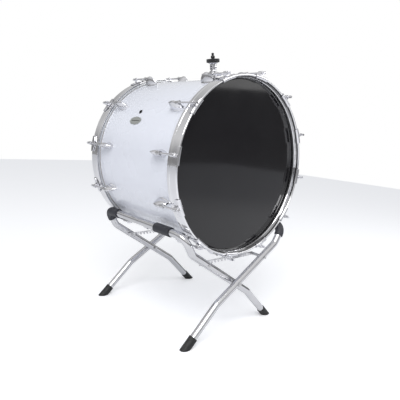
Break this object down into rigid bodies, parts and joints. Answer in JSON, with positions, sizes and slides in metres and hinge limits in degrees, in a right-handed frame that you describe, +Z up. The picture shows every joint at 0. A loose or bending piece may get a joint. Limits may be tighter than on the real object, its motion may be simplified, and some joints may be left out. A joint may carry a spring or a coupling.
{
  "type": "bass drum",
  "caption": "Bass drum with chrome hoops, claws and key rods, lying in a folding cross-leg tube stand, with a tilting cymbal holder on top.",
  "frame": {"origin": "on the floor, under the middle of the stand", "axes": "+Z up; Y along the drum's axis with the batter head facing -Y; X across the stand"},
  "size_m": [0.6228, 0.542, 0.9267],
  "materials": {
    "shell_ply": "satin lacquer",
    "white_wrap": "gloss",
    "hoop_chrome": "polished",
    "black_film": "satin",
    "coated_film": "matte",
    "ring_aluminium": "mill",
    "lug_chrome": "polished",
    "screw_steel": "zinc plated",
    "pad_rubber": "matte",
    "badge_metal": "satin",
    "grommet_black": "matte",
    "felt_black": "felt",
    "nut_black": "moulded",
    "tube_chrome": "polished",
    "sleeve_rubber": "matte",
    "strap_steel": "bright zinc"
  },
  "bodies": {
    "inner_stand": {"inner_frame": "tube_chrome", "inner_sleeves": "sleeve_rubber", "inner_feet": "sleeve_rubber", "pivot_bolts": "screw_steel", "pivot_spacers": "screw_steel", "catch_pins": "screw_steel"},
    "outer_stand": {"outer_frame": "tube_chrome", "outer_sleeves": "sleeve_rubber", "outer_feet": "sleeve_rubber", "strap_bolts": "screw_steel"},
    "front_strap_bar": {"front_strap": "strap_steel"},
    "rear_strap_bar": {"rear_strap": "strap_steel"},
    "drum": {"shell": "shell_ply", "shell_wrap": "white_wrap", "front_hoop": "hoop_chrome", "rear_hoop": "hoop_chrome", "front_head": "black_film", "rear_head": "coated_film", "front_flesh_hoop": "ring_aluminium", "rear_flesh_hoop": "ring_aluminium", "lugs": "lug_chrome", "lug_screws": "screw_steel", "swivel_nuts": "screw_steel", "claws": "lug_chrome", "claw_pads": "pad_rubber", "rod_washers": "screw_steel", "badge_plate": "badge_metal", "vent_grommet": "grommet_black", "holder_base": "lug_chrome"},
    "post": {"holder_post": "lug_chrome"},
    "clamp_screw": {"holder_clamp_screw": "lug_chrome"},
    "tilt_head": {"tilter": "lug_chrome", "cymbal_cup": "lug_chrome", "cymbal_felt": "felt_black"},
    "tilt_screw": {"tilter_screw": "lug_chrome"},
    "stud_nut": {"wing_nut": "nut_black"},
    "front_rod_1_body": {"front_rod_1": "lug_chrome"},
    "front_rod_2_body": {"front_rod_2": "lug_chrome"},
    "front_rod_3_body": {"front_rod_3": "lug_chrome"},
    "front_rod_4_body": {"front_rod_4": "lug_chrome"},
    "front_rod_5_body": {"front_rod_5": "lug_chrome"},
    "front_rod_6_body": {"front_rod_6": "lug_chrome"},
    "front_rod_7_body": {"front_rod_7": "lug_chrome"},
    "front_rod_8_body": {"front_rod_8": "lug_chrome"},
    "front_rod_9_body": {"front_rod_9": "lug_chrome"},
    "front_rod_10_body": {"front_rod_10": "lug_chrome"},
    "front_rod_11_body": {"front_rod_11": "lug_chrome"},
    "front_rod_12_body": {"front_rod_12": "lug_chrome"},
    "rear_rod_1_body": {"rear_rod_1": "lug_chrome"},
    "rear_rod_2_body": {"rear_rod_2": "lug_chrome"},
    "rear_rod_3_body": {"rear_rod_3": "lug_chrome"},
    "rear_rod_4_body": {"rear_rod_4": "lug_chrome"},
    "rear_rod_5_body": {"rear_rod_5": "lug_chrome"},
    "rear_rod_6_body": {"rear_rod_6": "lug_chrome"},
    "rear_rod_7_body": {"rear_rod_7": "lug_chrome"},
    "rear_rod_8_body": {"rear_rod_8": "lug_chrome"},
    "rear_rod_9_body": {"rear_rod_9": "lug_chrome"},
    "rear_rod_10_body": {"rear_rod_10": "lug_chrome"},
    "rear_rod_11_body": {"rear_rod_11": "lug_chrome"},
    "rear_rod_12_body": {"rear_rod_12": "lug_chrome"}
  },
  "joints": [
    {"name": "drum_lift", "type": "slide", "parent": "inner_stand", "child": "drum", "axis": [0, 0, 1], "range_m": [0, 0.76]},
    {"name": "stand_fold", "type": "hinge", "parent": "inner_stand", "child": "outer_stand", "pos_m": [0, 0, 0.17341], "axis": [0, -1, 0], "range_deg": [0, 94.01]},
    {"name": "front_strap_turn", "type": "hinge", "parent": "outer_stand", "child": "front_strap_bar", "pos_m": [0.12059, -0.2065, 0.249], "axis": [0, -1, 0], "range_deg": [-94.01, 0]},
    {"name": "rear_strap_turn", "type": "hinge", "parent": "outer_stand", "child": "rear_strap_bar", "pos_m": [0.12059, 0.2065, 0.249], "axis": [0, -1, 0], "range_deg": [-94.01, 0]},
    {"name": "post_turn", "type": "hinge", "parent": "drum", "child": "post", "pos_m": [-0.03136, -0.09, 0.86176], "axis": [-0.1045, 0, 0.9945], "range_deg": [-170, 170]},
    {"name": "clamp_screw_turn", "type": "hinge", "parent": "drum", "child": "clamp_screw", "pos_m": [-0.03115, -0.09, 0.85977], "axis": [0.8613, -0.5, 0.0905], "continuous": true},
    {"name": "tilter_tilt", "type": "hinge", "parent": "post", "child": "tilt_head", "pos_m": [-0.03324, -0.09, 0.87966], "axis": [0, 1, 0], "range_deg": [-12, 20]},
    {"name": "tilter_screw_turn", "type": "hinge", "parent": "tilt_head", "child": "tilt_screw", "pos_m": [-0.03324, -0.09, 0.87966], "axis": [0, -1, 0], "continuous": true},
    {"name": "wing_nut_turn", "type": "hinge", "parent": "tilt_head", "child": "stud_nut", "pos_m": [-0.03324, -0.09, 0.87966], "axis": [-0.1736, 0, 0.9848], "continuous": true},
    {"name": "front_rod_1_turn", "type": "hinge", "parent": "drum", "child": "front_rod_1_body", "pos_m": [0.03441, -0.188, 0.86545], "axis": [0, -1, 0], "continuous": true},
    {"name": "front_rod_2_turn", "type": "hinge", "parent": "drum", "child": "front_rod_2_body", "pos_m": [0.18083, -0.188, 0.80777], "axis": [0, -1, 0], "continuous": true},
    {"name": "front_rod_3_turn", "type": "hinge", "parent": "drum", "child": "front_rod_3_body", "pos_m": [0.27879, -0.188, 0.68462], "axis": [0, -1, 0], "continuous": true},
    {"name": "front_rod_4_turn", "type": "hinge", "parent": "drum", "child": "front_rod_4_body", "pos_m": [0.30205, -0.188, 0.52899], "axis": [0, -1, 0], "continuous": true},
    {"name": "front_rod_5_turn", "type": "hinge", "parent": "drum", "child": "front_rod_5_body", "pos_m": [0.24437, -0.188, 0.38257], "axis": [0, -1, 0], "continuous": true},
    {"name": "front_rod_6_turn", "type": "hinge", "parent": "drum", "child": "front_rod_6_body", "pos_m": [0.12122, -0.188, 0.28461], "axis": [0, -1, 0], "continuous": true},
    {"name": "front_rod_7_turn", "type": "hinge", "parent": "drum", "child": "front_rod_7_body", "pos_m": [-0.03441, -0.188, 0.26135], "axis": [0, -1, 0], "continuous": true},
    {"name": "front_rod_8_turn", "type": "hinge", "parent": "drum", "child": "front_rod_8_body", "pos_m": [-0.18083, -0.188, 0.31903], "axis": [0, -1, 0], "continuous": true},
    {"name": "front_rod_9_turn", "type": "hinge", "parent": "drum", "child": "front_rod_9_body", "pos_m": [-0.27879, -0.188, 0.44218], "axis": [0, -1, 0], "continuous": true},
    {"name": "front_rod_10_turn", "type": "hinge", "parent": "drum", "child": "front_rod_10_body", "pos_m": [-0.30205, -0.188, 0.59781], "axis": [0, -1, 0], "continuous": true},
    {"name": "front_rod_11_turn", "type": "hinge", "parent": "drum", "child": "front_rod_11_body", "pos_m": [-0.24437, -0.188, 0.74423], "axis": [0, -1, 0], "continuous": true},
    {"name": "front_rod_12_turn", "type": "hinge", "parent": "drum", "child": "front_rod_12_body", "pos_m": [-0.12122, -0.188, 0.84219], "axis": [0, -1, 0], "continuous": true},
    {"name": "rear_rod_1_turn", "type": "hinge", "parent": "drum", "child": "rear_rod_1_body", "pos_m": [0.03441, 0.178, 0.86545], "axis": [0, 1, 0], "continuous": true},
    {"name": "rear_rod_2_turn", "type": "hinge", "parent": "drum", "child": "rear_rod_2_body", "pos_m": [0.18083, 0.178, 0.80777], "axis": [0, 1, 0], "continuous": true},
    {"name": "rear_rod_3_turn", "type": "hinge", "parent": "drum", "child": "rear_rod_3_body", "pos_m": [0.27879, 0.178, 0.68462], "axis": [0, 1, 0], "continuous": true},
    {"name": "rear_rod_4_turn", "type": "hinge", "parent": "drum", "child": "rear_rod_4_body", "pos_m": [0.30205, 0.178, 0.52899], "axis": [0, 1, 0], "continuous": true},
    {"name": "rear_rod_5_turn", "type": "hinge", "parent": "drum", "child": "rear_rod_5_body", "pos_m": [0.24437, 0.178, 0.38257], "axis": [0, 1, 0], "continuous": true},
    {"name": "rear_rod_6_turn", "type": "hinge", "parent": "drum", "child": "rear_rod_6_body", "pos_m": [0.12122, 0.178, 0.28461], "axis": [0, 1, 0], "continuous": true},
    {"name": "rear_rod_7_turn", "type": "hinge", "parent": "drum", "child": "rear_rod_7_body", "pos_m": [-0.03441, 0.178, 0.26135], "axis": [0, 1, 0], "continuous": true},
    {"name": "rear_rod_8_turn", "type": "hinge", "parent": "drum", "child": "rear_rod_8_body", "pos_m": [-0.18083, 0.178, 0.31903], "axis": [0, 1, 0], "continuous": true},
    {"name": "rear_rod_9_turn", "type": "hinge", "parent": "drum", "child": "rear_rod_9_body", "pos_m": [-0.27879, 0.178, 0.44218], "axis": [0, 1, 0], "continuous": true},
    {"name": "rear_rod_10_turn", "type": "hinge", "parent": "drum", "child": "rear_rod_10_body", "pos_m": [-0.30205, 0.178, 0.59781], "axis": [0, 1, 0], "continuous": true},
    {"name": "rear_rod_11_turn", "type": "hinge", "parent": "drum", "child": "rear_rod_11_body", "pos_m": [-0.24437, 0.178, 0.74423], "axis": [0, 1, 0], "continuous": true},
    {"name": "rear_rod_12_turn", "type": "hinge", "parent": "drum", "child": "rear_rod_12_body", "pos_m": [-0.12122, 0.178, 0.84219], "axis": [0, 1, 0], "continuous": true}
  ],
  "couplings": [
    {"joint": "stand_fold", "follows": "drum_lift", "rad_per_m": 2.1587},
    {"joint": "front_strap_turn", "follows": "drum_lift", "rad_per_m": -2.1587},
    {"joint": "rear_strap_turn", "follows": "drum_lift", "rad_per_m": -2.1587}
  ]
}
